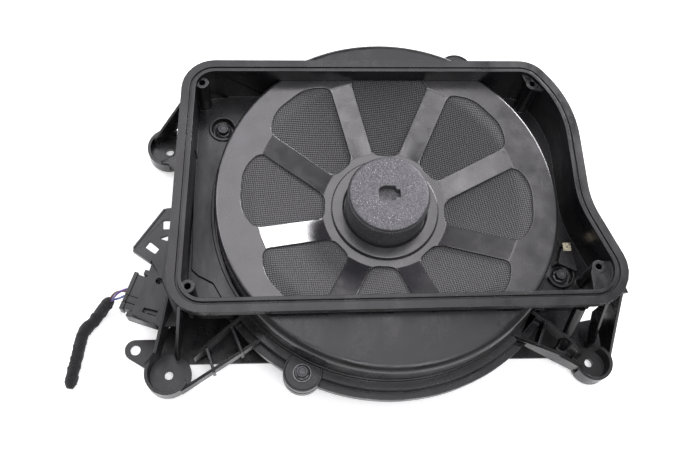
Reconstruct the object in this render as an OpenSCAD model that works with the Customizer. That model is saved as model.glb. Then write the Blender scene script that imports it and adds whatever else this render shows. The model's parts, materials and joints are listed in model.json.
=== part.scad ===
// Car subwoofer speaker, lying cone side down with its magnet side up.
// The origin is the middle of its footprint, on the surface it stands on. Parts are drawn about the
// speaker's own upright axis, and on_axis() puts that axis in its place.

/* [Shroud] */
// Height of the flat lip above the base
lip_top = 73; // [70:1:80]
// Width of the lip from its outer edge to the opening
lip_w = 11; // [10:0.5:12]
// Wall thickness of the mouldings
wall = 3; // [2.5:0.1:3.5]
// Top of the floor between the shroud wall and the speaker
floor_top = 33; // [32:0.5:35]
// Pilot radius of the four corner bosses
boss_hole_r = 2.3; // [1.5:0.1:3]

/* [Speaker frame] */
// Outer radius of the steel frame's raised ring
drum_r = 132.7; // [131:0.1:133.5]
// Height of the raised ring
drum_top = 60; // [58:0.5:60]
// Height of the sunken hub
hub_top = 34.5; // [33:0.5:36]
// Number of spokes, and of windows between them
spokes = 8; // [6:1:10]
// Width of a spoke
spoke_w = 18.5; // [14:0.5:22]
// Direction of the first window's middle
window_turn = -4; // [-20:1:20]

/* [Motor] */
// Outer radius of the magnet cup
cup_r = 32; // [30:0.5:34]
// Height of the magnet cup's flat end above the base
cup_top = 66.3; // [64:0.1:70]
// Inner radius of the voice coil former
coil_r = 20; // [19.9:0.05:20.1]

/* [Clamping ring and base] */
// Outer radius of the clamping ring
ring_r = 150; // [146:1:152]
// Pitch radius of the four clamp screws
ear_pitch = 147; // [146:0.5:148]
// Radius of the hole in each foot
foot_hole_r = 3.3; // [2.5:0.1:4]
// Thickness of the base plate
base_t = 3; // [2.5:0.1:3]

/* [Connector] */
// Turn of the connector and its bracket about the vertical
plug_turn = -20; // [-30:1:0]
// Thickness of the taped harness
harness_d = 9.5; // [8:0.1:10]

/* [Hidden] */
$fn = 96;
black = "#242427";
steel = "#3b3c40";

axis_x = 14;

lip_outline = [[-166, -93.5, 26], [188, -93.5, 28], [153.7, -10.5, 67],
               [153.4, 74.9, 90], [124.3, 113.8, 25], [-157, 113.8, 26]];
lip_h = 7;
rim_h = 1;
wall_in = lip_w - wall;
dome_r = 137;
dome_top = drum_top + wall;
skirt_gap_r = dome_r - wall;
floor_bottom = floor_top - wall;
flange_r = 144;
flange_top = 36;
bead_top = 38.5;
outer_ears = [62, -118];
inner_ears = [150.5, -23];
ear_turns = concat(outer_ears, inner_ears);
ear_r = 14.5;
inner_ear_r = 9;
pocket_wall = 2.2;
frame_t = 1.2;
clamp_bottom = 20;
clamp_top = floor_bottom - frame_t - 0.8;
clamp_in_r = 120;
opening_r = 122;
screw_r = 2.5;
foot_bottom = base_t;
foot_floor = foot_bottom + 4;
foot_r = 17;
foot_r_lr = 14.5;
foot_shift_lr = [0, -2];
foot_ll = [-168.6, -122.2];
foot_lr = [157.6, -121.8];
foot_ul = [-173.9, 66.7];
foot_ur = [157, 92];
base_ear = [-195, -101];
base_ear_r = 8;
feet = [foot_ll, foot_lr, foot_ul, foot_ur];
bosses = [[-142.4, 94.8], [122, 94], [-149.6, -72.5], [152.6, -63.5]];
boss_r = 5.2;
boss_top = 70;
slope_r = 103;
window_out_r = 114;
window_in_r = 48;
neck_z = 9;
neck_r = 24;
cone_edge_r = 106;
cone_edge_z = 29.2;
cone_t = 1;
spider_z = 24.5;
cup_bottom = hub_top;
plug_at = [-190, -65.7];
plug_z = 30;
plug_long = 28;
plug_deep = 11;
plug_high = 9;
harness_route = [[-213, -64, 14.5], [-216, -66, 12], [-219, -69, 9.5], [-222, -72, 7.2], [-225, -75.5, 5.8],
                 [-228, -79, 5], [-231, -82.5, 5], [-234, -86.5, 5], [-235.5, -91.5, 5], [-236.5, -97, 5],
                 [-237.5, -104, 5], [-238.5, -110, 5], [-239.5, -116, 5], [-240.5, -122.5, 5],
                 [-241.5, -129.5, 5]];
wire_route = [[-193.5, -62, 30], [-197, -62.4, 29.8], [-201, -62.8, 28.4], [-205, -63, 25.6],
              [-208.5, -63.2, 21.8], [-211, -63.4, 18], [-213, -64, 14.5]];

function unit(v) = v / norm(v);
function xy(p) = [p[0], p[1]];
function at(r, a) = [r * cos(a), r * sin(a)];
function side(a, b, c) = cross(b - a, c - b) >= 0 ? 1 : -1;

// Points of one rounded corner of an outline
function corner(a, b, c, r, n) =
    let (u = unit(a - b), v = unit(c - b), half = acos(u * v) / 2, m = b + unit(u + v) * r / sin(half))
    let (p = b + u * r / tan(half) - m, q = b + v * r / tan(half) - m, a0 = atan2(p[1], p[0]))
    let (turn = (atan2(q[1], q[0]) - a0 + 540) % 360 - 180)
    r == 0 ? [b] : [for (i = [0:n]) m + at(r, a0 + turn * i / n)];

// Outline through [x, y, radius] corners
function rounded(pts, n = 8) =
    let (k = len(pts))
    [for (i = [0:k - 1])
        let (a = xy(pts[(i + k - 1) % k]), b = xy(pts[i]), c = xy(pts[(i + 1) % k]))
        each corner(a, b, c, pts[i][2], n)];

// The same corners moved inwards by t
function inset(pts, t) =
    let (k = len(pts))
    [for (i = [0:k - 1])
        let (a = xy(pts[(i + k - 1) % k]), b = xy(pts[i]), c = xy(pts[(i + 1) % k]), s = side(a, b, c))
        let (u = unit(a - b), v = unit(c - b), half = acos(u * v) / 2, q = b + s * unit(u + v) * t / sin(half))
        [q[0], q[1], pts[i][2] - s * t]];

module on_axis() translate([axis_x, 0, 0]) children();
module plate(pts, z0, z1) translate([0, 0, z0]) linear_extrude(z1 - z0) polygon(pts);
module disc(r, z0, z1, p = [0, 0]) translate([p[0], p[1], z0]) cylinder(r = r, h = z1 - z0);
module tube(r_in, r_out, z0, z1, p = [0, 0]) difference() {
    disc(r_out, z0, z1, p);
    disc(r_in, z0 - 1, z1 + 1, p);
}
module shroud_plan(t, z0, z1) plate(rounded(inset(lip_outline, t)), z0, z1);

// Upright rib from a to b, given its top and bottom heights at both ends
module rib(a, b, tops, bottoms, t = 2.4) {
    run = norm(b - a);
    translate([a[0], a[1], 0]) rotate([0, 0, atan2(b[1] - a[1], b[0] - a[0])])
        rotate([90, 0, 0]) linear_extrude(t, center = true)
            polygon([[-1, bottoms[0]], [run + 1, bottoms[1]], [run + 1, tops[1]], [-1, tops[0]]]);
}

// Shroud wall with its floor and its lip
module shroud() difference() {
    union() {
        shroud_plan(0, lip_top - lip_h, lip_top);
        shroud_plan(wall_in, floor_bottom + 0.4, lip_top + rim_h);
    }
    shroud_plan(lip_w, floor_top, lip_top + 5);
    disc(skirt_gap_r, 0, drum_top + 0.1);
    difference() {
        shroud_plan(wall_in - 1.6, lip_top - 1.5, lip_top + 5);
        shroud_plan(wall_in, lip_top - 2, lip_top + 6);
    }
}

// Corner boss tied to the shroud's walls by two webs
module boss(p, web_a, web_b) {
    disc(boss_r, floor_top - 1, boss_top, p);
    rib(p, web_a, [boss_top - 0.6, boss_top - 0.6], [floor_top - 1.2, floor_top - 1.2], 3);
    rib(p, web_b, [boss_top - 0.8, boss_top - 0.8], [floor_top - 1.4, floor_top - 1.4], 3);
}

module dome() difference() {
    union() {
        rotate_extrude() difference() {
            polygon([[0, floor_bottom + 1], [dome_r, floor_bottom + 1], [dome_r, dome_top - 6],
                     for (a = [0:15:90]) [dome_r - 6 + 6 * cos(a), dome_top - 6 + 6 * sin(a)],
                     [0, dome_top]]);
            polygon([[0, 0], [skirt_gap_r, 0], [skirt_gap_r, dome_top - 6], [skirt_gap_r - 3, dome_top - wall],
                     [0, dome_top - wall]]);
        }
        disc(dome_r + 1.2, flange_top, bead_top);
        disc(flange_r, floor_bottom, flange_top);
    }
    disc(skirt_gap_r, 0, dome_top - 6);
    shroud_plan(wall_in + 1, floor_top - 0.5, lip_top);
}

// Cup-shaped foot whose raised edge stays open towards the shroud
module foot(p, open_turn, edge_top, r = foot_r) {
    disc(r, foot_bottom, foot_floor, p);
    difference() {
        tube(r - 2.6, r, foot_floor - 1, edge_top, p);
        translate([p[0], p[1], foot_floor]) rotate([0, 0, open_turn])
            translate([4, -r, 0]) cube([2 * r, 2 * r, edge_top]);
    }
}

// Ribs that run from the lip down to the front left foot, beside the connector's bracket
module bracket_side_ribs(t) {
    sole = foot_bottom + 0.5;
    rib([-156, -88], [-162, -110], [67, 19], [31.5, sole], t);
    rib([-164.5, -80], [-177, -108], [67.5, 24], [31.7, sole + 0.3], t);
}

module legs() {
    sole = foot_bottom + 0.5;

    foot(foot_ll, 50, 18);
    rib([-95, -101], [-158, -135], [37, 15], [28, sole]);
    rib([-113, -86], [-149, -111], [39, 19], [28, sole]);
    rib([-139, -107], [-134, -123], [24, 21], [8, 8]);
    rib([-120, -93], [-113, -111], [32, 31], [14, 14]);
    bracket_side_ribs(2.4);
    rib([-177, -108], [-184, -116], [23, 17], [sole + 0.6, sole + 0.6]);

    foot(foot_lr + foot_shift_lr, 130, 20, foot_r_lr);
    rib([92, -105], [127.5, -119], [37, 30], [28, 12], 3);
    rib([127.5, -119], [147, -127], [29, 18.5], [11.4, sole], 3);
    rib([109, -87.5], [140.5, -110.5], [39, 29], [28, 12]);
    rib([140.5, -110.5], [148, -117], [28, 18.5], [11.4, sole]);
    rib([119, -94], [111, -112], [34, 34], [18, 18]);
    rib([158, -88], [158.7, -108], [67, 20], [31.5, sole]);
    rib([168, -85], [171.9, -119.5], [67.5, 14], [12, sole + 0.2]);
    translate([134, -112, 12]) rotate([0, 30.3, 74.5]) cylinder(r = 4.3, h = 47);
    disc(4.8, sole + 0.2, 17, [134, -112.5]);

    foot(foot_ul, -10, 16);
    rib([-148, 96], [-185, 74], [69, 15], [31.5, sole]);
    rib([-149, 47], [-181, 53], [50, 13], [31.5, sole]);

    foot(foot_ur, 200, 14);
    rib([140, 72], [168, 80], [60, 13], [31.5, sole]);
    rib([124, 93], [150, 106], [60, 13], [31.5, sole]);
}

// Raised floor beside the drum, with a sunken strip left along the shroud's left wall
module raised_floor() difference() {
    plate(rounded([[-150.5, 93, 2], [-150.5, -48, 2], [-145.6, -52.6, 2], [-134.3, -59, 4], [-126, -74, 2],
                   [-90, -83.5, 0], [-90, 104, 0], [-112, 103, 4], [-124, 103, 3], [-140, 93, 3]]),
          floor_bottom + 0.6, floor_top + 2.4);
    disc(skirt_gap_r + 1, 0, 50);
}

// Flat webs that join the corner bosses to the shroud's corners
module boss_webs() {
    plate([[113, 106], [117.5, 94], [121, 88.8], [133, 87], [136, 92], [124, 108]],
          boss_top - 2.6, boss_top - 0.3);
    plate([[149, -59], [165, -59], [172, -84], [146, -84], [146, -68]],
          boss_top - 2.6, boss_top - 0.3);
}

// Height of the face that each clamp screw's washer sits on
function seat_z(turn) = len([for (a = outer_ears) if (a == turn) a]) > 0 ? flange_top : floor_bottom;

module main_housing() color(black) on_axis() difference() {
    union() {
        shroud();
        dome();
        tube(skirt_gap_r, dome_r - 0.5, floor_bottom + 1, floor_top + 4);
        raised_floor();
        for (a = inner_ears)
            disc(inner_ear_r + pocket_wall, floor_bottom + 1.2, floor_top + 4, at(ear_pitch, a));
        for (a = outer_ears) disc(ear_r, floor_bottom, flange_top, at(ear_pitch - 1, a));
        for (a = outer_ears) tube(ear_r - 1.4, ear_r, flange_top - 1, flange_top + 0.8, at(ear_pitch - 1, a));
        boss(bosses[0], [-151, 95], [-142, 105]);
        boss(bosses[1], [131, 92], [121, 105]);
        boss(bosses[2], [-156, -72], [-150, -84]);
        boss(bosses[3], [164, -63], [152, -84]);
        boss_webs();
        difference() {
            legs();
            disc(ring_r + 0.6, 0, floor_bottom + 0.6);
        }
        rib([143.5, 74], [144.5, 38], [52, 50], [floor_top - 1.6, floor_top - 1.6], 2);
    }
    for (p = bosses) disc(boss_hole_r, floor_top, boss_top + 1, p);
    for (p = feet) disc(foot_hole_r, foot_bottom - 1, foot_floor + 2, p);
    for (a = inner_ears) {
        disc(inner_ear_r, floor_bottom - 1, 45, at(ear_pitch, a));
        rotate([0, 0, a]) translate([skirt_gap_r - 1, -6, floor_bottom - 1]) cube([12, 12, 8.5]);
    }
    for (a = outer_ears) disc(screw_r + 0.4, floor_bottom - 1, 45, at(ear_pitch, a));
    disc(drum_r + 0.8, 0, drum_top - 0.2);
}

module clamping_ring() color(black) on_axis() difference() {
    union() {
        tube(clamp_in_r, ring_r, clamp_bottom, clamp_top);
        for (a = ear_turns) {
            disc(inner_ear_r + 1, clamp_bottom, clamp_top, at(ear_pitch, a));
            disc(8, base_t, clamp_bottom + 1, at(ear_pitch, a));
        }
        for (a = outer_ears) disc(ear_r, clamp_bottom, clamp_top, at(ear_pitch - 1, a));
    }
    for (a = ear_turns) disc(screw_r, 8, clamp_top + 1, at(ear_pitch, a));
}

module base_plate() color(black) on_axis() difference() {
    union() {
        plate(rounded([[-162, -113, 6], [150, -116, 12], [166, 100, 14], [-160, 104, 14]]), 0, base_t);
        disc(base_ear_r, 0, base_t, base_ear);
        plate([base_ear + [0, base_ear_r], base_ear - base_ear_r * [0.515, 0.857], [-160, -132], [-150, -100],
               [-150, -74], [-165, -78], [-177, -93]], 0, base_t);
        for (p = feet) disc(12, 0, base_t, p);
        plate([[-174, 58], [-150, 58], [-150, 76], [-174, 76]], 0, base_t);
        plate([[138, -120], [152, -130], [171, -121], [175, -112], [175, -84], [138, -90]], 0, base_t);
        tube(opening_r, opening_r + 4, 0, clamp_bottom);
    }
    disc(opening_r, -1, base_t + 1);
    disc(3.9, -1, base_t + 1, base_ear);
    for (p = feet) disc(foot_hole_r + 1, -1, base_t + 1, p);
}

module window_cut(a) rotate([0, 0, a]) {
    half = 180 / spokes;
    shift = spoke_w / 2 / sin(half);
    reach = window_out_r - shift * 0.35;
    inner = [window_in_r, (window_in_r - shift) * tan(half)];
    outer = [reach * cos(half - 4), (reach * cos(half - 4) - shift) * tan(half)];
    plate(rounded([[inner[0], -inner[1], min(9, inner[1] * 0.95)], [outer[0], -outer[1], 8],
                   [window_out_r * cos(9), -window_out_r * sin(9), 30],
                   [window_out_r * cos(9), window_out_r * sin(9), 30],
                   [outer[0], outer[1], 8], [inner[0], inner[1], min(9, inner[1] * 0.95)]], 5), 0, lip_top);
}

module basket() color(steel) on_axis() difference() {
    union() {
        rotate_extrude() polygon([
            [22.4, hub_top - 2.2], [50, hub_top - 2.2], [slope_r, drum_top - 1.6], [drum_r - 4, drum_top - 1.6],
            [drum_r - 1.6, drum_top - 4], [drum_r - 1.4, floor_bottom - frame_t],
            [skirt_gap_r + 6, floor_bottom - frame_t], [skirt_gap_r + 6, floor_bottom],
            [drum_r, floor_bottom], [drum_r, drum_top - 3],
            for (a = [0:15:90]) [drum_r - 3 + 3 * cos(a), drum_top - 3 + 3 * sin(a)],
            [slope_r, drum_top], [50, hub_top], [22.4, hub_top]]);
        for (a = ear_turns) difference() {
            disc(inner_ear_r - 0.6, floor_bottom - frame_t, floor_bottom, at(ear_pitch, a));
            disc(drum_r - 1, 0, 50);
        }
    }
    for (i = [0:spokes - 1]) window_cut(window_turn + i * 360 / spokes);
    for (a = ear_turns) disc(screw_r + 0.4, 20, 40, at(ear_pitch, a));
}

module hub_ring() color(steel) on_axis() rotate_extrude() polygon([
    [cup_r + 0.6, hub_top], [43.2, hub_top], [42.2, hub_top + 3.2], [cup_r + 1.6, hub_top + 3.2],
    [cup_r + 0.6, hub_top + 2.4]]);

module magnet_cup() color("#55565a") on_axis() difference() {
    rotate_extrude() polygon([
        [coil_r + 2.2, cup_bottom], [cup_r, cup_bottom], [cup_r, cup_top - 3.4], [cup_r - 1.2, cup_top - 2.6],
        [cup_r - 1.2, cup_top - 1], [cup_r - 2.2, cup_top], [0, cup_top], [0, cup_top - 6.3],
        [cup_r - 6, cup_top - 6.3], [cup_r - 6, cup_bottom + 8.5], [coil_r + 2.2, cup_bottom + 8.5]]);
    plate(rounded([[-8, -6, 2.5], [5, -6, 2], [5, -3.5, 0.5], [8.5, -3.5, 1], [8.5, 3, 1], [5.5, 3, 0.5],
                   [5.5, 6, 2], [-4, 6.5, 2.5], [-8, 4, 2]], 3), cup_top - 7, cup_top + 1);
}

module ring_magnet() color("#77787c") on_axis() tube(9.5, 18, cup_bottom + 8.5, cup_top - 6.3);
module pole_plate() color("#606166") on_axis() tube(9.5, coil_r - 0.7, cup_bottom + 0.5, cup_bottom + 8.5);
module voice_coil_former() color("#c9a45a") on_axis() tube(coil_r, coil_r + 0.4, neck_z, cup_bottom + 12);
module voice_coil() color("#b5652b") on_axis()
    tube(coil_r + 0.4, coil_r + 1.3, cup_bottom - 1.5, cup_bottom + 10);

module cone() color("#1d1d1f") on_axis() rotate_extrude() polygon([
    [coil_r + 0.4, neck_z], [neck_r, neck_z], [64, cone_edge_z - 13], [cone_edge_r - 5, cone_edge_z - 1.2],
    [cone_edge_r, cone_edge_z - 0.8], [cone_edge_r, cone_edge_z], [cone_edge_r - 6, cone_edge_z],
    [64, cone_edge_z - 13 + cone_t * 1.2], [neck_r - 1, neck_z + cone_t * 1.2], [coil_r + 0.4, neck_z + 2]]);

module dust_cap() color("#1a1a1c") on_axis() rotate_extrude() polygon([
    for (i = [0:6]) [19.6 * (1 - i / 6), neck_z + 0.4 + 6 * sin(15 * i)],
    for (i = [6:-1:0]) [19.6 * (1 - i / 6), neck_z + 1.4 + 6 * sin(15 * i)]]);

module surround() color("#161618") on_axis() rotate_extrude() polygon([
    [101, cone_edge_z], [106, cone_edge_z], [107, cone_edge_z],
    for (a = [170:-20:10]) [117 + 9 * cos(a), cone_edge_z + 9 * sin(a)],
    [126.5, cone_edge_z - 1], [131, cone_edge_z - 1], [131, cone_edge_z + 0.4], [128, cone_edge_z + 0.4],
    for (a = [10:20:170]) [117 + 10.2 * cos(a), cone_edge_z + 1 + 10 * sin(a)],
    [104, cone_edge_z + 1.2], [101, cone_edge_z + 1.2]]);

// Height and radius of the corrugated spider at step i of 24
function spider_at(i, lift) = [coil_r + 0.4 + 23.6 * i / 24,
                               spider_z + lift + (i > 1 && i < 22 ? 1.3 * sin(i * 90) : 0)];
module spider() color("#a8843c") on_axis() rotate_extrude() polygon([
    for (i = [0:24]) spider_at(i, 0), for (i = [24:-1:0]) spider_at(i, 0.6)]);

module spider_support() color(black) on_axis() tube(42.8, 45, spider_z + 0.6, hub_top - 2.2);

module mesh_cloth() color("#2e2f31") on_axis() rotate_extrude() polygon([
    [46, hub_top - 3.2], [50, hub_top - 3.2], [slope_r, drum_top - 2.6], [120, drum_top - 2.6],
    [120, drum_top - 1.6], [slope_r, drum_top - 1.6], [50, hub_top - 2.2], [46, hub_top - 2.2]]);

module frame_gasket() color("#0f0f10") on_axis()
    tube(drum_r + 0.6, skirt_gap_r + 5.5, clamp_top, floor_bottom - frame_t);

module cone_gasket() color("#131314") on_axis() tube(123, 130.8, clamp_top, cone_edge_z - 1);

module terminal_block() color(black) on_axis() {
    plate([[138.5, -39], [143.5, -39], [143.5, -45], [138.5, -45]], floor_top, 39);
    plate(rounded([[137, -37.6, 1], [145, -37.6, 1], [147.5, -57, 1], [132.5, -49.5, 1]]), 38.5, 40.5);
}

module terminal_tab() color("#c9cacd") on_axis() {
    plate([[138, -40], [144.4, -40], [144.4, -33.2], [138, -33.2]], 40.5, 41.3);
    plate([[138, -34], [144.4, -34], [144.4, -33.2], [138, -33.2]], floor_top, 41);
}

module hex_screw(p, z) {
    disc(6, z, z + 1.4, p);
    translate([p[0], p[1], z]) cylinder(r = 4.6, h = 5.4, $fn = 6);
    disc(2.3, z - 20, z + 1, p);
}
module clamp_screws() color("#4a4b50") on_axis() for (a = ear_turns)
    hex_screw(at(ear_pitch, a), seat_z(a) + 1);
module clamp_washers() color("#b9bbbf") on_axis() for (a = ear_turns)
    tube(screw_r + 0.1, 7, seat_z(a), seat_z(a) + 1, at(ear_pitch, a));

module at_connector() translate([plug_at[0], plug_at[1], 0]) rotate([0, 0, plug_turn]) children();

module connector_bracket() color(black) on_axis() difference() {
    union() {
        plate(rounded([[-171, 1, 2], [-195, -32.3, 2], [-179.5, -43, 1], [-183, -55, 1],
                       [-193.5, -83, 2], [-172, -93, 2], [-158.1, -93, 2], [-158.1, 2, 0]]), 37, 40);
        rib([-164, 0], [-164, -74], [40, 40], [24, 24], 3);
        rib([-193, -34], [-181, -42.5], [41, 41], [36, 36], 1.8);
        rib([-172, -0.5], [-193, -30.5], [40.6, 40.6], [36, 36], 1.6);
    }
    plate(rounded([[-172.5, -16.4, 1], [-167, -16.4, 1], [-167, -9, 1], [-172.5, -9, 1]]), 30, 45);
    plate(rounded([[-185.3, -30.8, 1], [-177.6, -36.6, 1], [-174.5, -32.5, 1], [-182, -26, 1]]), 30, 45);
    plate(rounded([[-175, -23.8, 0.6], [-168.4, -26.3, 0.6], [-168.4, -21.3, 0.6]]), 30, 45);
    plate(rounded([[-185.3, -82, 0.8], [-175, -85.3, 0.8], [-173.8, -81.4, 0.8], [-184, -78.6, 0.8]]), 30, 45);
    disc(2.4, 30, 45, [-173.9, -58.1]);
    bracket_side_ribs(2.5);
}

module connector_socket() color("#2b2b2e") on_axis() difference() {
    union() {
        at_connector() translate([3, -19, 22]) cube([19, 38, 15]);
        at_connector() translate([-1.5, -19, 22]) cube([5, 4, 14]);
        at_connector() translate([-1.5, 15, 22]) cube([5, 4, 14]);
    }
    at_connector() translate([-3, -plug_long / 2 - 0.4, plug_z - plug_high / 2 - 0.4])
        cube([15.4, plug_long + 0.8, plug_high + 0.8]);
    at_connector() translate([13, -17.5, 30]) cube([7, 5, 8]);
    rib([-164, 10], [-164, -110], [40, 40], [10, 10], 3.4);
    translate([-162.4, -120, 0]) cube([40, 120, 60]);
    disc(2.4, 21, 38, [-173.9, -58.1]);
    bracket_side_ribs(2.5);
}

module socket_pins() color("#c8b070") on_axis() at_connector() for (i = [0:5])
    translate([7.4, -11.5 + 4.4 * i, plug_z - 0.5]) cube([5, 1, 1]);

module connector_plug() color("#1f1f22") on_axis() at_connector() difference() {
    union() {
        translate([-plug_deep / 2 - 1, -plug_long / 2, plug_z - plug_high / 2])
            cube([plug_deep + 7, plug_long, plug_high]);
        translate([-plug_deep / 2 - 3, -plug_long / 2 - 1.2, plug_z - plug_high / 2 - 1])
            cube([3, plug_long + 2.4, plug_high + 2]);
    }
    translate([-plug_deep / 2 - 4, -1, plug_z - 3]) cube([5, 12.6, 6]);
    for (i = [0:5]) translate([5, -11.9 + 4.4 * i, plug_z - 0.9]) cube([8, 1.8, 1.8]);
    translate([-9, -9, plug_z + plug_high / 2 - 2.6]) cube([14.1, 5.6, 5]);
}

module plug_latch() color("#1f1f22") on_axis() at_connector()
    translate([-8.2, -8.8, plug_z + plug_high / 2 - 0.9]) {
        cube([12.7, 5.2, 1]);
        cube([2.4, 5.2, 2.4]);
        translate([12.7, 0, 0.5]) rotate([-90, 0, 0]) cylinder(r = 0.5, h = 5.2, $fn = 24);
    }

function ring_at(p, dir, r, n) =
    let (s = unit(cross(dir, [0, 0, 1])), t = cross(s, dir))
    [for (i = [0:n - 1]) p + r * (cos(360 * i / n) * s + sin(360 * i / n) * t)];
function heading(pts, i) = unit(pts[min(i + 1, len(pts) - 1)] - pts[max(i - 1, 0)]);

// Tube of radius r swept along a route
module swept(route, r, n) {
    k = len(route);
    points = [for (j = [0:k - 1], p = ring_at(route[j], heading(route, j), r, n)) p];
    faces = concat([[for (i = [0:n - 1]) i]], [[for (i = [n - 1:-1:0]) (k - 1) * n + i]],
        [for (j = [0:k - 2], i = [0:n - 1])
            [j * n + i, (j + 1) * n + i, (j + 1) * n + (i + 1) % n, j * n + (i + 1) % n]]);
    polyhedron(points, faces);
}
module plug_wires() color("#54427c") on_axis() swept(wire_route, 2.5, 8);
module taped_harness() color("#121213") on_axis() swept(harness_route, harness_d / 2, 10);

main_housing();
clamping_ring();
base_plate();
basket();
hub_ring();
magnet_cup();
ring_magnet();
pole_plate();
voice_coil_former();
voice_coil();
cone();
dust_cap();
surround();
spider();
spider_support();
mesh_cloth();
frame_gasket();
cone_gasket();
terminal_block();
terminal_tab();
clamp_screws();
clamp_washers();
connector_bracket();
connector_socket();
socket_pins();
connector_plug();
plug_latch();
plug_wires();
taped_harness();
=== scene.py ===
import json
from math import cos, pi, radians, sin

import bmesh
import bpy
from mathutils import Matrix, Vector, noise


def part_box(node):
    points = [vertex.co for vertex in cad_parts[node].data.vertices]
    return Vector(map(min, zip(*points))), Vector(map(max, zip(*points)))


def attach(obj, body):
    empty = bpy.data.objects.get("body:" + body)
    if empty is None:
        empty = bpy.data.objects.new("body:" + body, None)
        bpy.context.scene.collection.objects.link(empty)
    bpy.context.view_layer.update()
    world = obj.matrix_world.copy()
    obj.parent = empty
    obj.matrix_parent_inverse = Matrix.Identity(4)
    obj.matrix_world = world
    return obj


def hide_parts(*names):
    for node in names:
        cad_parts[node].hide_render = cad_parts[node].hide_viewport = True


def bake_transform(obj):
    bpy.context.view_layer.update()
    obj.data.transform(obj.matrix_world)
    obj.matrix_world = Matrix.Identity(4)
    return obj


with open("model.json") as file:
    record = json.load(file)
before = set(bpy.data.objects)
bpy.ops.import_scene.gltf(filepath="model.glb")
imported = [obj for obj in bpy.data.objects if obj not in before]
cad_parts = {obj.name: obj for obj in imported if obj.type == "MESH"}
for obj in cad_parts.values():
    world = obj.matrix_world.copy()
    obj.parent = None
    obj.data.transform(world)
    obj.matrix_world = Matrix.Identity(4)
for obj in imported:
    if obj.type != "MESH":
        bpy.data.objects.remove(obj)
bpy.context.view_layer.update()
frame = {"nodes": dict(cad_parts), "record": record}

MM = 0.001
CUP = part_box("magnet_cup")
AXIS = Vector(((CUP[0].x + CUP[1].x) / 2, (CUP[0].y + CUP[1].y) / 2, 0))


def mm(*point):
    """A point in millimetres about the speaker's axis, as metres in the row frame."""
    return AXIS + Vector(point) * MM


# Camera


def add_camera():
    """Above the front edge, looking down at the motor, and turned a little about its line of sight."""
    azimuth, elevation, roll = radians(-13.31), radians(67.7), radians(11.52)
    target, distance, lens = mm(-31.13, -29.8, 60), 0.6382, 43.71
    back = Vector((sin(azimuth) * cos(elevation), -cos(azimuth) * cos(elevation), sin(elevation)))
    right = Vector((cos(azimuth), sin(azimuth), 0))
    up = back.cross(right)
    across = right * cos(roll) + up * sin(roll)
    upright = up * cos(roll) - right * sin(roll)
    camera = bpy.data.objects.new("camera", bpy.data.cameras.new("camera"))
    camera.data.lens = lens
    camera.data.sensor_width = 36
    camera.data.clip_start = 0.01
    turned = Matrix((across, upright, back)).transposed().to_4x4()
    camera.matrix_world = Matrix.Translation(target + back * distance) @ turned
    bpy.context.scene.collection.objects.link(camera)
    bpy.context.scene.camera = camera


add_camera()


# Materials


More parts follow.
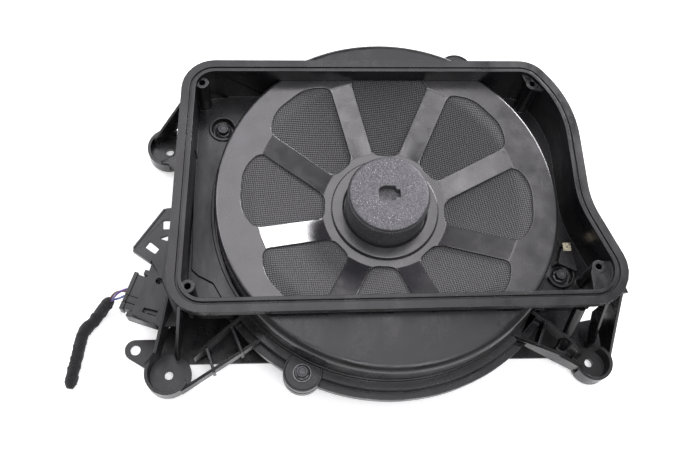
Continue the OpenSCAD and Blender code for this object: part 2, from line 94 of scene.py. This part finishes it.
class Shader:
    """A node material that is put together step by step in object space, where one unit is a metre."""

    def __init__(self, name, roughness=0.5, metallic=0.0, specular=0.5, coat=0.0, sheen=0.0):
        self.material = bpy.data.materials.new(name)
        self.material.use_nodes = True
        self.tree = self.material.node_tree
        self.bsdf = self.tree.nodes["Principled BSDF"]
        self.bsdf.inputs["Roughness"].default_value = roughness
        self.bsdf.inputs["Metallic"].default_value = metallic
        self.bsdf.inputs["Specular IOR Level"].default_value = specular
        self.bsdf.inputs["Coat Weight"].default_value = coat
        self.bsdf.inputs["Coat Roughness"].default_value = 0.25
        self.bsdf.inputs["Sheen Weight"].default_value = sheen
        self.place = self.add("TexCoord").outputs["Object"]

    def add(self, kind, **settings):
        """A new shader node of a kind."""
        node = self.tree.nodes.new("ShaderNode" + kind)
        for key, value in settings.items():
            setattr(node, key, value)
        return node

    def feed(self, socket, value):
        """Links an input to another node's output, or sets it to a plain value."""
        if isinstance(value, bpy.types.NodeSocket):
            self.tree.links.new(value, socket)
        else:
            socket.default_value = value

    def put(self, node, **sockets):
        """Feeds a node's inputs by name, where _ stands for a space, and gives the node back."""
        for name, value in sockets.items():
            self.feed(node.inputs[name.replace("_", " ")], value)
        return node

    def noise(self, size, detail=3.0, rough=0.6, stretch=(1, 1, 1)):
        """Noise whose lumps are about size millimetres wide, drawn out along an axis by stretch."""
        scaled = self.put(self.add("Mapping"), Vector=self.place, Scale=[1 / s for s in stretch])
        texture = self.put(self.add("TexNoise"), Vector=scaled.outputs[0], Scale=1 / (size * MM),
                           Detail=detail, Roughness=rough)
        return texture.outputs[0]

    def ramp(self, factor, low, high, dark, light):
        """Colour that goes from dark to light as factor goes from low to high."""
        node = self.add("ValToRGB")
        self.tree.links.new(factor, node.inputs[0])
        ends = node.color_ramp.elements
        ends[0].position, ends[1].position = low, high
        ends[0].color, ends[1].color = (*dark, 1), (*light, 1)
        return node.outputs[0]

    def span(self, factor, low, high, start=0.0, end=1.0):
        """Number that goes from start to end as factor goes from low to high."""
        node = self.put(self.add("MapRange"), Value=factor, From_Min=low, From_Max=high)
        return self.put(node, To_Min=start, To_Max=end).outputs[0]

    def math(self, operation, a, b=0.0):
        """Result of an operation on two numbers; a sine takes only the first."""
        node = self.add("Math", operation=operation)
        for socket, value in zip(node.inputs, (a, b)):
            self.feed(socket, value)
        return node.outputs[0]

    def mix(self, factor, below, above):
        """Colour that goes from below to above with factor; inputs 6 and 7 are the node's colours."""
        node = self.add("Mix", data_type="RGBA")
        for index, value in ((0, factor), (6, below), (7, above)):
            self.feed(node.inputs[index], (*value, 1) if isinstance(value, (tuple, list)) else value)
        return node.outputs[2]

    def bump(self, height, depth, strength=1.0):
        """Adds relief of about depth millimetres to the reliefs so far."""
        node = self.put(self.add("Bump"), Height=height, Strength=strength)
        node.inputs["Distance"].default_value = depth * MM
        if self.bsdf.inputs["Normal"].is_linked:
            self.tree.links.new(self.bsdf.inputs["Normal"].links[0].from_socket, node.inputs["Normal"])
        self.put(self.bsdf, Normal=node.outputs[0])

    def colour(self, value):
        self.put(self.bsdf, Base_Color=value)

    def roughness(self, value):
        self.put(self.bsdf, Roughness=value)


def times(shade, factor):
    """A colour made darker or lighter."""
    return [c * factor for c in shade]


def moulded(name, shade, rough, grain=0.6, depth=0.03, dust=0.5):
    """Satin moulded plastic with a fine spark-eroded grain, handling marks and settled dust."""
    dust_colour = (0.2, 0.18, 0.15)
    s = Shader(name)
    base = s.ramp(s.noise(45, 4), 0.35, 0.7, times(shade, 0.7), times(shade, 1.35))
    specks = s.span(s.noise(1.4, 2, 0.5), 0.69, 0.75, 0.0, dust)
    patches = s.span(s.noise(30, 3), 0.5, 0.62)
    s.colour(s.mix(s.math("MULTIPLY", specks, patches), base, dust_colour))
    smear = s.noise(22, 5, 0.65, (1, 2.5, 1))
    s.roughness(s.span(smear, 0.32, 0.68, rough - 0.13, rough + 0.15))
    s.bump(s.noise(grain, 2), depth)
    s.bump(s.noise(12, 2), 0.3, 0.6)
    return s.material


def painted_steel(name, shade, rough):
    """Pressed steel under a thin satin paint, with faint orange peel and fine scratches."""
    scratch_colour = (0.14, 0.14, 0.145)
    s = Shader(name, specular=0.7, coat=0.4)
    base = s.ramp(s.noise(38, 4), 0.35, 0.68, times(shade, 0.8), times(shade, 1.2))
    scratches = s.span(s.noise(1.3, 3, 0.7, (1, 26, 1)), 0.68, 0.76, 0.0, 0.55)
    patches = s.span(s.noise(40, 2), 0.48, 0.6)
    s.colour(s.mix(s.math("MULTIPLY", scratches, patches), base, scratch_colour))
    s.roughness(s.span(s.noise(16, 5, 0.6), 0.3, 0.7, rough - 0.07, rough + 0.1))
    s.bump(s.noise(2.6, 2), 0.02, 0.6)
    s.bump(s.noise(24, 1), 0.35, 0.6)
    return s.material


def cast_steel(name, shade):
    """Bare dull steel with a speckled, lightly corroded skin."""
    s = Shader(name, metallic=0.55)
    fine = s.noise(0.9, 4, 0.75)
    base = s.ramp(fine, 0.36, 0.66, times(shade, 0.45), times(shade, 1.5))
    specks = s.span(s.noise(0.9, 3, 0.7), 0.6, 0.68, 0.0, 0.8)
    patches = s.span(s.noise(14, 3), 0.42, 0.6)
    s.colour(s.mix(s.math("MULTIPLY", specks, patches), base, times(shade, 5)))
    s.roughness(s.span(s.noise(7, 4), 0.3, 0.7, 0.42, 0.66))
    s.bump(fine, 0.05, 0.7)
    return s.material


def bright_steel(name, shade, rough):
    """Plated steel with a fine grain and patches of rougher finish."""
    s = Shader(name, metallic=0.9)
    s.colour(s.ramp(s.noise(2.5, 4, 0.7), 0.3, 0.7, times(shade, 0.6), shade))
    s.roughness(s.span(s.noise(1.8, 4), 0.3, 0.7, rough - 0.1, rough + 0.2))
    s.bump(s.noise(0.5, 2), 0.015)
    return s.material


def woven(name, dark, light, pitch, turn, depth, fleck=0.25):
    """Plain weave of two thread sets, pitch millimetres apart and turned by an angle in degrees.

    The threads are uneven, and fleck is how strongly the stray coloured fibres show."""
    s = Shader(name, roughness=0.85, specular=0.25, sheen=0.15)
    wobble = s.math("MULTIPLY", s.noise(9, 2), 5.0)
    turned = s.put(s.add("Mapping"), Vector=s.place)
    turned.inputs["Rotation"].default_value[2] = radians(turn)
    split = s.put(s.add("SeparateXYZ"), Vector=turned.outputs[0])
    waves = []
    for axis in ("X", "Y"):
        along = s.math("MULTIPLY", split.outputs[axis], pi / (pitch * MM))
        waves.append(s.math("SINE", s.math("ADD", along, wobble)))
    over = s.math("MULTIPLY", waves[0], waves[1])
    thread = s.math("ADD", over, s.math("MULTIPLY", s.noise(pitch * 0.7, 3, 0.7), 1.6))
    cloth = s.ramp(s.span(thread, -0.6, 1.9), 0.1, 0.95, dark, light)
    stray = s.span(s.noise(pitch * 1.1, 3, 0.8), 0.66, 0.74, 0.0, fleck)
    hue = s.ramp(s.noise(4, 1), 0.4, 0.6, (0.16, 0.09, 0.05), (0.05, 0.08, 0.13))
    s.colour(s.mix(stray, cloth, hue))
    s.bump(over, depth)
    return s.material


def fibrous(name, dark, light, size, depth, rough=0.8):
    """Pressed pulp, foam, ferrite or varnished paper: short tangled fibres or grains."""
    s = Shader(name, roughness=rough, specular=0.3)
    fibre = s.noise(size, 5, 0.75, (1, 3, 1))
    s.colour(s.ramp(fibre, 0.32, 0.7, dark, light))
    s.bump(fibre, depth)
    s.bump(s.noise(size * 6, 2), depth * 1.5, 0.5)
    return s.material


def soft_rubber(name, shade):
    """Rubber with a bloom of pale dust in random patches."""
    s = Shader(name, specular=0.45)
    s.colour(s.ramp(s.noise(11, 5, 0.7), 0.36, 0.72, shade, times(shade, 1.9)))
    s.roughness(s.span(s.noise(8, 4), 0.3, 0.7, 0.46, 0.7))
    s.bump(s.noise(0.8, 2), 0.03)
    return s.material


def wire_coat(name, shade):
    """Wire insulation, faintly mottled along its length."""
    s = Shader(name, roughness=0.4, coat=0.2)
    s.colour(s.ramp(s.noise(1.6, 3, 0.6), 0.35, 0.7, times(shade, 0.7), times(shade, 1.2)))
    s.bump(s.noise(0.7, 2), 0.02)
    return s.material


def wound_copper(name):
    """Enamelled copper wire in close turns."""
    wire = 0.35 * MM
    s = Shader(name, roughness=0.3, metallic=0.9)
    height = s.put(s.add("SeparateXYZ"), Vector=s.place).outputs["Z"]
    turns = s.math("SINE", s.math("MULTIPLY", height, 2 * pi / wire))
    s.colour(s.ramp(s.noise(3, 3), 0.3, 0.7, (0.4, 0.14, 0.06), (0.62, 0.26, 0.11)))
    s.bump(turns, 0.08)
    return s.material


SHADES = {
    "housing_plastic": moulded("housing_plastic", (0.0055, 0.0052, 0.0062), 0.31),
    "connector_plastic": moulded("connector_plastic", (0.006, 0.0057, 0.0068), 0.36, 0.4, 0.02, 0.3),
    "coated_steel": painted_steel("coated_steel", (0.02, 0.0192, 0.0222), 0.24),
    "magnet_steel": cast_steel("magnet_steel", (0.1, 0.099, 0.106)),
    "magnet": fibrous("magnet", (0.05, 0.05, 0.052), (0.12, 0.12, 0.125), 0.8, 0.03, 0.5),
    "former": fibrous("former", (0.36, 0.24, 0.1), (0.5, 0.35, 0.15), 2.0, 0.02, 0.4),
    "copper": wound_copper("copper"),
    "cone_paper": fibrous("cone_paper", (0.01, 0.01, 0.011), (0.045, 0.043, 0.041), 1.1, 0.1),
    "rubber": soft_rubber("rubber", (0.01, 0.01, 0.01)),
    "spider_cloth": woven("spider_cloth", (0.2, 0.12, 0.04), (0.5, 0.34, 0.14), 0.7, 0, 0.15),
    "mesh_cloth": woven("mesh_cloth", (0.0008, 0.0008, 0.001), (0.12, 0.12, 0.125), 1.15, 38, 0.6, 0.6),
    "foam": fibrous("foam", (0.006, 0.006, 0.006), (0.03, 0.03, 0.03), 0.7, 0.2, 0.9),
    "wire": wire_coat("wire", (0.1, 0.055, 0.24)),
    "screw_steel": bright_steel("screw_steel", (0.09, 0.09, 0.095), 0.38),
    "washer_steel": bright_steel("washer_steel", (0.16, 0.16, 0.165), 0.24),
    "contact": bright_steel("contact", (0.66, 0.6, 0.45), 0.25),
    "cloth_tape": woven("cloth_tape", (0.002, 0.002, 0.0022), (0.03, 0.03, 0.032), 0.45, 0, 0.15, 0.1),
}


# Pieces


def piece(name, data, body, slot, nodes=(), material=None):
    """A new shown object that rides on a body, if one is given, and stands for CAD nodes."""
    obj = bpy.data.objects.new(name, data)
    bpy.context.scene.collection.objects.link(obj)
    data.materials.clear()
    data.materials.append(material or SHADES[slot])
    if body:
        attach(obj, body)
    if nodes:
        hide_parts(*nodes)
    return obj


def mesh_of(name, bm, crease=34):
    """Mesh of a bmesh, smooth except at edges sharper than crease degrees."""
    bmesh.ops.recalc_face_normals(bm, faces=bm.faces)
    data = bpy.data.meshes.new(name)
    bm.to_mesh(data)
    bm.free()
    data.shade_smooth()
    data.set_sharp_from_angle(angle=radians(crease))
    return data


def rounded_copy(node, body, slot, width=0.35, crease=28, pierced=()):
    """A copy of a CAD node whose sharp edges are rounded by width millimetres.

    pierced holds (x, y, radius) in millimetres round holes, where flat faces stay as they are."""
    bm = bmesh.new()
    bm.from_mesh(frame["nodes"][node].data)
    bmesh.ops.remove_doubles(bm, verts=bm.verts, dist=0.004 * MM)
    near = [(mm(x, y, 0).xy, r * MM) for x, y, r in pierced]
    plain = [v for v in bm.verts if all((v.co.xy - at).length > r for at, r in near)]
    flat = [e for e in bm.edges if all((v.co.xy - at).length > r for v in e.verts for at, r in near)]
    bmesh.ops.dissolve_limit(bm, angle_limit=radians(0.6), verts=plain, edges=flat)
    obj = piece(node + "_detail", mesh_of(node + "_detail", bm, 180), body, slot, [node])
    bevel = obj.modifiers.new("round", "BEVEL")
    bevel.width = width * MM
    bevel.segments = 2
    bevel.limit_method = "ANGLE"
    bevel.angle_limit = radians(crease)
    bevel.use_clamp_overlap = False
    bevel.miter_outer = "MITER_ARC"
    even = obj.modifiers.new("even", "WEIGHTED_NORMAL")
    even.keep_sharp = True


def smooth_path(points, step):
    """Points about step metres apart on a smooth curve through points."""
    last = len(points) - 1
    out = []
    for i in range(last):
        a, b, c, d = (points[max(0, min(last, i + k))] for k in (-1, 0, 1, 2))
        parts = max(1, round((c - b).length / step))
        for j in range(parts):
            t = j / parts
            slope = (c - a) * (t / 2)
            bend = (a * 2 - b * 5 + c * 4 - d) * (t * t / 2)
            twist = (b * 3 - a - c * 3 + d) * (t ** 3 / 2)
            out.append(b + slope + bend + twist)
    return out + [points[-1]]


def bridge(bm, a, b):
    """Faces between two rings of as many vertices."""
    for k in range(len(a)):
        after = (k + 1) % len(a)
        bm.faces.new((a[k], a[after], b[after], b[k]))


def skin(bm, rings):
    """Closed surface over a row of rings, with a flat face on each end."""
    for a, b in zip(rings, rings[1:]):
        bridge(bm, a, b)
    bm.faces.new(rings[0])
    bm.faces.new(rings[-1])


def level_ring(bm, x, y, z, radius, sides):
    """Vertices round (x, y) at height z; radius is a length or a function of the vertex number."""
    ring = []
    for k in range(sides):
        turn = 2 * pi * k / sides
        r = radius(k) if callable(radius) else radius
        ring.append(bm.verts.new(mm(x + r * cos(turn), y + r * sin(turn), z)))
    return ring


def tube(name, line, radius, sides=24):
    """Closed tube round a line, kept above the ground.

    radius is a function of the share of the length and the turn round it."""
    ground = 0.05 * MM
    last = len(line) - 1
    bm = bmesh.new()
    rings = []
    for i, p in enumerate(line):
        ahead = (line[min(i + 1, last)] - line[max(i - 1, 0)]).normalized()
        side = ahead.cross(Vector((0, 0, 1))).normalized()
        up = side.cross(ahead)
        ring = []
        for k in range(sides):
            turn = 2 * pi * k / sides
            at = p + (side * cos(turn) + up * sin(turn)) * radius(i / last, turn)
            ring.append(bm.verts.new((at.x, at.y, max(at.z, ground))))
        rings.append(ring)
    skin(bm, rings)
    return mesh_of(name, bm, 60)


# Harness: three bare wires out of the plug, then a bundle wrapped in cloth tape


HARNESS_ROUTE = [mm(*p) for p in (
    (-213, -64, 14.5), (-216, -66, 12), (-219, -69, 9.5), (-222, -72, 7.2), (-225, -75.5, 5.8),
    (-228, -79, 5), (-231, -82.5, 5), (-234, -86.5, 5), (-235.5, -91.5, 5), (-236.5, -97, 5),
    (-237.5, -104, 5), (-238.5, -110, 5), (-239.5, -116, 5), (-240.5, -122.5, 5), (-241.5, -129.5, 5))]
WIRE_ROUTE = [mm(*p) for p in (
    (-193.5, -62, 30), (-197, -62.4, 29.8), (-201, -62.8, 28.4), (-205, -63, 25.6), (-208.5, -63.2, 21.8),
    (-211, -63.4, 18), (-213, -64, 14.5))]
HARNESS_R = 4.75 * MM


def length_of(line):
    """Length along a line of points."""
    return sum((b - a).length for a, b in zip(line, line[1:]))


def add_harness():
    """The taped bundle, with the overlap and creases of its tape, and the wires that run into it."""
    line = smooth_path(HARNESS_ROUTE, 0.7 * MM)
    long = length_of(line)
    wrap = 9 * MM
    wire_r = 0.8 * MM

    def radius(share, turn):
        lap = (share * long / wrap + turn / (2 * pi)) % 1
        step = 0.5 * MM * (1 - lap) - 0.35 * MM
        place = Vector((share * long / (4 * MM), cos(turn) * 1.9, sin(turn) * 1.9))
        crumple = 0.75 * MM * noise.noise(place) + 0.3 * MM * noise.noise(place * 2.7)
        ends = min(1, share * 9 + 0.62, (1 - share) * 9 + 0.5)
        return (HARNESS_R - 0.15 * MM + step + crumple) * ends

    wrapped = tube("taped_harness_wrap", line, radius)
    tape = piece("taped_harness_wrap", wrapped, "plug", "cloth_tape", ["taped_harness"])
    colours = [(0.1, 0.055, 0.24), (0.05, 0.09, 0.32), (0.14, 0.07, 0.045)]
    bundle = smooth_path(WIRE_ROUTE, 1.5 * MM)
    for i, shade in enumerate(colours):
        path = []
        for j, p in enumerate(bundle):
            share = j / (len(bundle) - 1)
            spread = (1.6 + 1.5 * sin(pi * share)) * MM
            turn = 2 * pi * i / len(colours) + 0.5 + share * 2.2
            path.append(p + Vector((0, cos(turn), sin(turn))) * spread)
        path.append(line[3])
        data = tube(f"bare_wire_{i}", smooth_path(path, wire_r), lambda share, turn: wire_r, 10)
        coat = wire_coat(f"wire_coat_{i}", shade)
        nodes = ["plug_wires"] if i == 0 else ()
        piece(f"bare_wire_{i}", data, "plug", "wire", nodes, coat)


add_harness()


# Turned pieces


def lathe(name, profile, start=0.0, end=360.0, steps=144, crease=34):
    """Solid turned about the speaker's axis; profile goes round as (radius, height) in millimetres."""
    bm = bmesh.new()
    whole = end - start >= 360
    rings = []
    for i in range(steps if whole else steps + 1):
        a = radians(start + (end - start) * i / steps)
        rings.append([bm.verts.new(mm(r * cos(a), r * sin(a), z)) for r, z in profile])
    for i in range(steps):
        a, b = rings[i], rings[(i + 1) % len(rings)]
        for k in range(len(profile)):
            m = (k + 1) % len(profile)
            bm.faces.new((a[k], b[k], b[m], a[m]))
    bmesh.ops.remove_doubles(bm, verts=bm.verts, dist=0.001 * MM)
    return mesh_of(name, bm, crease)


def add_suspension(node, slot, profile):
    """A ring between the cone and the frame, turned from profile in sectors."""
    sectors = 12
    for i in range(sectors):
        start, end = 360 * i / sectors, 360 * (i + 1) / sectors
        data = lathe(f"{node}_sector_{i}", profile, start, end, 10, 60)
        obj = piece(f"{node}_sector_{i}", data, None, slot, [node])
        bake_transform(obj)


def add_surround():
    """Half-roll rubber edge with a flat rim on each side."""
    middle = 117
    roll = [radians(a) for a in range(10, 171, 10)]
    under = [(middle + 9 * cos(a), 29.2 + 9 * sin(a)) for a in reversed(roll)]
    over = [(middle + 10.2 * cos(a), 30.2 + 10 * sin(a)) for a in roll]
    profile = [(101, 29.2), (106.6, 29.2), *under, (126.5, 28.2), (131, 28.2), (131, 29.5), (128.2, 29.6),
               *over, (104.5, 30.4), (102, 30.3), (101, 29.9)]
    add_suspension("surround", "rubber", profile)


def add_spider():
    """Corrugated cloth disc that centres the coil."""
    steps, inner, width = 72, 20.4, 23.6
    first, last, wave, height = 22.4, 42, 1.966, 1.3
    radii = [inner + width * i / steps for i in range(steps + 1)]
    waves = [height * sin(pi * (r - first) / wave) if first < r < last else 0 for r in radii]
    under = [(r, 24.5 + w) for r, w in zip(radii, waves)]
    over = [(r, 25.1 + w) for r, w in zip(radii, waves)]
    add_suspension("spider", "spider_cloth", under + over[::-1])


def add_cone():
    """Pressed paper cone with its domed cap."""
    flare = [(24 + 82 * t, 9 + 19.4 * t ** 1.25) for t in (i / 20 for i in range(20))]
    under = [(20.4, 9.2), (22, 8.98), *flare, (101, 28.0), (106, 28.4)]
    raised = [(r - 0.6, z + 1.25) for r, z in reversed(flare[1:-1])]
    over = [(106, 29.2), (100, 29.2), *raised, (22.5, 10.4), (20.4, 11)]
    piece("cone_pulp", lathe("cone_pulp", under + over), "cone_assembly", "cone_paper", ["cone"])
    dome = [(19.6 * cos(a), 9.4 + 6 * sin(a)) for a in (radians(6 * i) for i in range(16))]
    cap = dome + [(0, 16.4)] + [(r, z + 1) for r, z in reversed(dome[:-1])]
    piece("dust_cap_pulp", lathe("dust_cap_pulp", cap), "cone_assembly", "cone_paper", ["dust_cap"])


def add_mesh_cloth():
    """Open weave stretched under the spokes, cut as a flat ring."""
    steps, inner, width = 37, 46, 74
    slope_start, slope_width = 50, 53
    low, rise, sag, thick = 32.2, 26.1, 0.5, 0.5
    radii = [inner + width * i / steps for i in range(steps + 1)]
    share = [min(1, max(0, (r - slope_start) / slope_width)) for r in radii]
    top = [(r, low + rise * t - sag * sin(pi * t)) for r, t in zip(radii, share)]
    profile = top + [(r, z - thick) for r, z in reversed(top)]
    weave = lathe("mesh_cloth_weave", profile)
    cloth = piece("mesh_cloth_weave", weave, "frame", "mesh_cloth", ["mesh_cloth"])


def soft_outline(corners):
    """Closed outline through (x, y, radius) corners in millimetres."""
    line = []
    for i, (x, y, r) in enumerate(corners):
        at = Vector((x, y))
        back = (Vector(corners[i - 1][:2]) - at).normalized() * r
        ahead = (Vector(corners[(i + 1) % len(corners)][:2]) - at).normalized() * r
        line += [at + back * (1 - t) ** 2 + ahead * t ** 2 for t in (k / 5 for k in range(6))]
    return line


def add_magnet_cup():
    """Deep drawn cup whose flat end has a keyed hole."""
    bm = bmesh.new()
    side = [(22.2, 43), (22.2, 34.5), (31.6, 34.5), (32, 34.9), (32, 62.5), (31.7, 63.1), (30.95, 63.7),
            (30.8, 65.1), (30.5, 65.7), (29.8, 66.15), (28.9, 66.3)]
    rings = [level_ring(bm, 0, 0, z, r, 144) for r, z in side]
    key = soft_outline([(-8, -6, 2.5), (5, -6, 2), (5, -3.5, 0.5), (8.5, -3.5, 1), (8.5, 3, 1), (5.5, 3, 0.5),
                        (5.5, 6, 2), (-4, 6.5, 2.5), (-8, 4, 2)])
    for grow, z in ((1.07, 66.3), (1.02, 66.2), (1, 65.9), (1, 60)):
        rings.append([bm.verts.new(mm(*(p * grow), z)) for p in key])
    for a, b in zip(rings, rings[1:]):
        if len(a) == len(b):
            bridge(bm, a, b)
    rim, hole = rings[len(side) - 1], rings[len(side)]
    edges = [bm.edges.get((loop[k - 1], loop[k])) for loop in (rim, hole) for k in range(len(loop))]
    bmesh.ops.triangle_fill(bm, edges=edges, use_beauty=True)
    bm.faces.new(rings[-1])
    piece("magnet_cup_shell", mesh_of("magnet_cup_shell", bm), "frame", "magnet_steel", ["magnet_cup"])


def add_screw(bm, x, y, z):
    """Hexagon flange screw with a chamfered, dished head, 8 mm across its flats."""
    sides, half_flat, turn = 48, 4, 17

    def hexagon(k):
        return half_flat / cos(radians((360 * k / sides + turn) % 60 - 30))

    shank = [(2.3, -20), (2.3, 0)]
    flange = [(5.8, 0), (6, 0.3), (5.9, 0.7), (5.3, 1.2)]
    head = [(lambda k: hexagon(k) + 0.12, 1.45), (hexagon, 1.8), (hexagon, 4.75)]
    chamfer = [(lambda k: min(hexagon(k), 4.35), 5.05), (lambda k: min(hexagon(k), 3.9), 5.4)]
    dish = [(2.9, 5.4), (2.5, 5.0), (0.4, 4.85)]
    profile = shank + flange + head + chamfer + dish
    skin(bm, [level_ring(bm, x, y, z + h, r, sides) for r, h in profile])


def add_washer(bm, x, y, z):
    """Flat washer, 1 mm thick, with worn edges."""
    profile = [(2.6, 0), (6.8, 0), (7, 0.2), (7, 0.8), (6.8, 1), (2.9, 1), (2.6, 0.8)]
    rings = [level_ring(bm, x, y, z + h, r, 64) for r, h in profile]
    for a, b in zip(rings, rings[1:] + rings[:1]):
        bridge(bm, a, b)


def add_fasteners():
    """Two screws on the flange outside the shroud, and two sunk in the floor inside it, whose washers are a
    darker copy of the washer steel: painted shade of their recess.
    """
    ear_r, washer = 147, 1
    # Painted shade: the washers sunk inside the shroud get a darker, rougher copy of the washer steel for the
    # shade of their recess
    recess_washer_shade = bright_steel("recess_shaded_washer", (0.03, 0.03, 0.032), 0.5)
    sets = (("outer", (62, -118), 36, SHADES["washer_steel"]), ("inner", (150.5, -23), 30, recess_washer_shade))
    for name, turns, seat, shade in sets:
        screws, washers = bmesh.new(), bmesh.new()
        for turn in turns:
            x, y = ear_r * cos(radians(turn)), ear_r * sin(radians(turn))
            add_screw(screws, x, y, seat + washer)
            add_washer(washers, x, y, seat)
        heads = mesh_of(f"{name}_screws", screws, 24)
        discs = mesh_of(f"{name}_washers", washers)
        piece(f"{name}_screws", heads, "frame", "screw_steel", ["clamp_screws"])
        piece(f"{name}_washers", discs, "frame", "washer_steel", ["clamp_washers"], shade)


# Shroud, speaker frame and connector


# Round holes, as (x, y, radius of the flat faces round them) in millimetres about the axis
BOSSES = [(-142.4, 94.8, 7), (122, 94, 7), (-149.6, -72.5, 7), (152.6, -63.5, 7)]
FEET = [(-168.6, -122.2, 6), (157.6, -121.8, 6), (-173.9, 66.7, 6), (157, 92, 6)]

rounded_copy("main_housing", "frame", "housing_plastic", 0.4, pierced=BOSSES + FEET)
rounded_copy("clamping_ring", "frame", "housing_plastic", 0.5)
rounded_copy("base_plate", "frame", "housing_plastic", 0.4)
rounded_copy("basket", "frame", "coated_steel", 0.7, 20)
rounded_copy("hub_ring", "frame", "coated_steel", 0.8)
rounded_copy("terminal_block", "frame", "housing_plastic", 0.3)
rounded_copy("terminal_tab", "frame", "contact", 0.15)
rounded_copy("connector_bracket", "frame", "connector_plastic", 0.3, pierced=[(-175, -40, 70)])
rounded_copy("connector_socket", "frame", "connector_plastic", 0.3)
rounded_copy("connector_plug", "plug", "connector_plastic", 0.3)
rounded_copy("plug_latch", "latch", "connector_plastic", 0.2)
add_magnet_cup()
add_fasteners()
add_mesh_cloth()
add_surround()
add_spider()
add_cone()

for subpart in frame["record"]["subparts"]:
    node = frame["nodes"][subpart["node"]]
    node.data.materials.clear()
    node.data.materials.append(SHADES[subpart["material_slot"]])


# Floor and light


def add_stage():
    """A large pale floor that glows a little, so that shadows on it stay soft."""
    bm = bmesh.new()
    bmesh.ops.create_grid(bm, x_segments=4, y_segments=4, size=3)
    floor = bpy.data.objects.new("floor", mesh_of("floor", bm))
    bpy.context.scene.collection.objects.link(floor)
    s = Shader("floor", roughness=0.9, specular=0.1)
    s.colour(s.ramp(s.noise(400, 2), 0.3, 0.7, (0.9, 0.9, 0.9), (0.93, 0.93, 0.93)))
    glow = s.ramp(s.noise(500, 2), 0.3, 0.7, (0.97, 0.97, 0.97), (1, 1, 1))
    s.put(s.bsdf, Emission_Color=glow, Emission_Strength=0.4)
    floor.data.materials.append(s.material)


def add_softbox(name, direction, distance, size, power):
    """Square light, size and distance in metres and power in watts, that faces the speaker."""
    light = bpy.data.lights.new(name, "AREA")
    light.size = size
    light.energy = power
    light.color = (0.985, 0.96, 1)
    obj = bpy.data.objects.new(name, light)
    obj.location = AXIS + Vector(direction).normalized() * distance
    obj.rotation_euler = (AXIS - obj.location).to_track_quat("-Z", "Y").to_euler()
    bpy.context.scene.collection.objects.link(obj)


add_stage()
add_softbox("key", (0.62, 0.585, 0.52), 1.26, 0.4, 16)
add_softbox("overhead", (0.12, -0.36, 0.93), 1.5, 0.85, 11)
add_softbox("ceiling", (-0.03, 0.38, 0.92), 1.5, 0.95, 8)
add_softbox("side", (-0.6, 0.3, 0.72), 1.5, 0.75, 8)

world = bpy.data.worlds.new("studio")
bpy.context.scene.world = world
world.use_nodes = True
world.node_tree.nodes["Background"].inputs["Color"].default_value = (1, 1, 1, 1)
world.node_tree.nodes["Background"].inputs["Strength"].default_value = 0.42
bpy.context.scene.view_settings.view_transform = "Standard"
